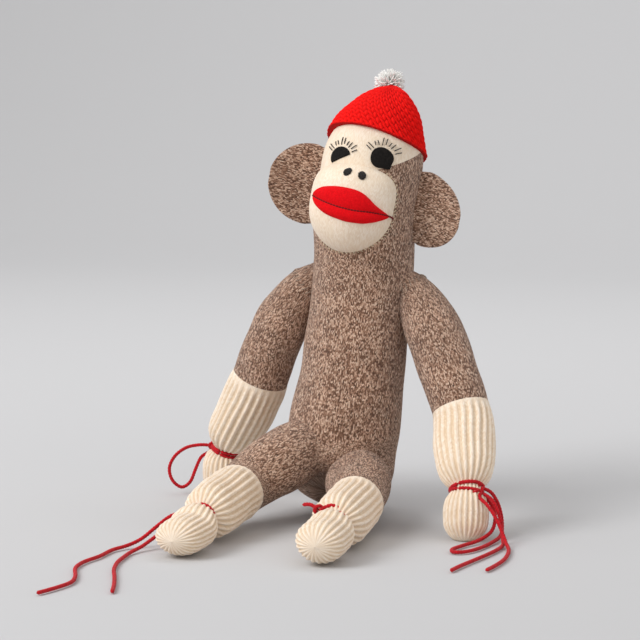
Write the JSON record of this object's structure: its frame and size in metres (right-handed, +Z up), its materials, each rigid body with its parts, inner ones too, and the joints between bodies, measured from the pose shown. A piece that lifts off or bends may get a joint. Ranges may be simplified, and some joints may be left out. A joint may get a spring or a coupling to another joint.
{
  "type": "sock monkey doll",
  "caption": "Seated soft doll of a monkey sewn from marl and cream socks, with knitted cap, pompom and yarn ties; limbs, head, ears and tail move",
  "frame": {"origin": "middle of the flat seat under the torso, on the surface that the doll sits on", "axes": "+Z up, the doll faces -Y, its own left is +X"},
  "size_m": [0.3269, 0.5488, 0.3601],
  "materials": {
    "marl_knit": "tweed stocking knit",
    "cream_knit": "fine stocking knit",
    "cream_rib": "ribbed knit",
    "red_knit": "ribbed yarn knit",
    "red_yarn": "twisted yarn",
    "red_felt": "felt",
    "dark_red_thread": "stitched thread",
    "black_felt": "felt",
    "black_thread": "stitched thread",
    "white_yarn": "cut yarn",
    "filling": "soft fibre filling"
  },
  "bodies": {
    "torso": {"torso_sock": "marl_knit", "torso_stuffing": "filling"},
    "neck": {"neck_sock": "marl_knit", "neck_stuffing": "filling"},
    "head": {"head_sock": "marl_knit", "head_crown": "cream_knit", "head_stuffing": "filling", "muzzle": "cream_knit", "muzzle_stuffing": "filling", "lips": "red_felt", "mouth_line": "dark_red_thread", "eyes": "black_felt", "eyelashes": "black_thread", "nostrils": "black_thread", "cap": "red_knit", "pompom": "white_yarn"},
    "ear_left": {"ear_left": "marl_knit"},
    "shoulder_left": {"shoulder_seam_left": "marl_knit"},
    "arm_left": {"sleeve_left": "marl_knit", "sleeve_stuffing_left": "filling"},
    "forearm_left": {"arm_cuff_left": "cream_rib", "arm_cuff_stuffing_left": "filling"},
    "hand_left": {"hand_left": "cream_rib", "hand_stuffing_left": "filling", "wrist_tie_left": "red_yarn", "wrist_left_loop": "red_yarn", "wrist_left_tail_a": "red_yarn", "wrist_left_tail_b": "red_yarn"},
    "thigh_left": {"thigh_left": "marl_knit", "thigh_stuffing_left": "filling"},
    "shin_left": {"leg_cuff_left": "cream_rib", "leg_cuff_stuffing_left": "filling"},
    "foot_left": {"foot_left": "cream_rib", "foot_stuffing_left": "filling", "ankle_tie_left": "red_yarn"},
    "ear_right": {"ear_right": "marl_knit"},
    "shoulder_right": {"shoulder_seam_right": "marl_knit"},
    "arm_right": {"sleeve_right": "marl_knit", "sleeve_stuffing_right": "filling"},
    "forearm_right": {"arm_cuff_right": "cream_rib", "arm_cuff_stuffing_right": "filling"},
    "hand_right": {"hand_right": "cream_rib", "hand_stuffing_right": "filling", "wrist_tie_right": "red_yarn", "wrist_right_loop": "red_yarn"},
    "thigh_right": {"thigh_right": "marl_knit", "thigh_stuffing_right": "filling"},
    "shin_right": {"leg_cuff_right": "cream_rib", "leg_cuff_stuffing_right": "filling"},
    "foot_right": {"foot_right": "cream_rib", "foot_stuffing_right": "filling", "ankle_tie_right": "red_yarn", "ankle_right_tail_a": "red_yarn", "ankle_right_tail_b": "red_yarn"},
    "tail": {"tail_sock": "marl_knit", "tail_tip": "cream_knit", "tail_stuffing": "filling"}
  },
  "joints": [
    {"name": "neck_turn", "type": "hinge", "parent": "torso", "child": "neck", "pos_m": [0.0136, 0.013, 0.195], "axis": [0.0689, 0.1368, 0.9882], "range_deg": [-45, 45]},
    {"name": "head_nod", "type": "hinge", "parent": "neck", "child": "head", "pos_m": [0.014, 0.012, 0.243], "axis": [-0.9914, 0, 0.1305], "range_deg": [-15, 15]},
    {"name": "ear_fold_left", "type": "hinge", "parent": "head", "child": "ear_left", "pos_m": [0.05812, 0.01625, 0.24869], "axis": [-0.1281, -0.1908, -0.9732], "range_deg": [-20, 20]},
    {"name": "shoulder_swing_left", "type": "hinge", "parent": "torso", "child": "shoulder_left", "pos_m": [0.0575, 0.008, 0.18], "axis": [-1, 0, 0], "range_deg": [-30, 80]},
    {"name": "arm_lift_left", "type": "hinge", "parent": "shoulder_left", "child": "arm_left", "pos_m": [0.0575, 0.008, 0.18], "axis": [0, -1, 0], "range_deg": [0, 50]},
    {"name": "elbow_bend_left", "type": "hinge", "parent": "arm_left", "child": "forearm_left", "pos_m": [0.106, -0.032, 0.086], "axis": [-1, 0, 0], "range_deg": [-15, 45]},
    {"name": "wrist_bend_left", "type": "hinge", "parent": "forearm_left", "child": "hand_left", "pos_m": [0.119, -0.074, 0.038], "axis": [-1, 0, 0], "range_deg": [-20, 20]},
    {"name": "ear_fold_right", "type": "hinge", "parent": "head", "child": "ear_right", "pos_m": [-0.02714, 0.01625, 0.25991], "axis": [0.1281, 0.1908, 0.9732], "range_deg": [-20, 20]},
    {"name": "shoulder_swing_right", "type": "hinge", "parent": "torso", "child": "shoulder_right", "pos_m": [-0.036, 0.009, 0.182], "axis": [-1, 0, 0], "range_deg": [-30, 80]},
    {"name": "arm_lift_right", "type": "hinge", "parent": "shoulder_right", "child": "arm_right", "pos_m": [-0.036, 0.009, 0.182], "axis": [0, 1, 0], "range_deg": [0, 50]},
    {"name": "elbow_bend_right", "type": "hinge", "parent": "arm_right", "child": "forearm_right", "pos_m": [-0.08, 0.026, 0.097], "axis": [-1, 0, 0], "range_deg": [-15, 45]},
    {"name": "wrist_bend_right", "type": "hinge", "parent": "forearm_right", "child": "hand_right", "pos_m": [-0.114, 0.045, 0.039], "axis": [-1, 0, 0], "range_deg": [-20, 20]},
    {"name": "hip_swing_left", "type": "hinge", "parent": "torso", "child": "thigh_left", "pos_m": [0.0235, -0.036, 0.024], "axis": [-1, 0, 0], "range_deg": [-85, 10]},
    {"name": "knee_bend_left", "type": "hinge", "parent": "thigh_left", "child": "shin_left", "pos_m": [0.036, -0.092, 0.024], "axis": [-1, 0, 0], "range_deg": [-55, 10]},
    {"name": "ankle_bend_left", "type": "hinge", "parent": "shin_left", "child": "foot_left", "pos_m": [0.04, -0.164, 0.023], "axis": [-1, 0, 0], "range_deg": [-20, 20]},
    {"name": "hip_swing_right", "type": "hinge", "parent": "torso", "child": "thigh_right", "pos_m": [-0.023, -0.036, 0.024], "axis": [-1, 0, 0], "range_deg": [-85, 10]},
    {"name": "knee_bend_right", "type": "hinge", "parent": "thigh_right", "child": "shin_right", "pos_m": [-0.058, -0.084, 0.024], "axis": [-1, 0, 0], "range_deg": [-55, 10]},
    {"name": "ankle_bend_right", "type": "hinge", "parent": "shin_right", "child": "foot_right", "pos_m": [-0.064, -0.164, 0.023], "axis": [-1, 0, 0], "range_deg": [-20, 20]},
    {"name": "tail_swing", "type": "hinge", "parent": "torso", "child": "tail", "pos_m": [-0.004, 0.035, 0.013], "axis": [0, 0, 1], "range_deg": [-30, 30]}
  ]
}
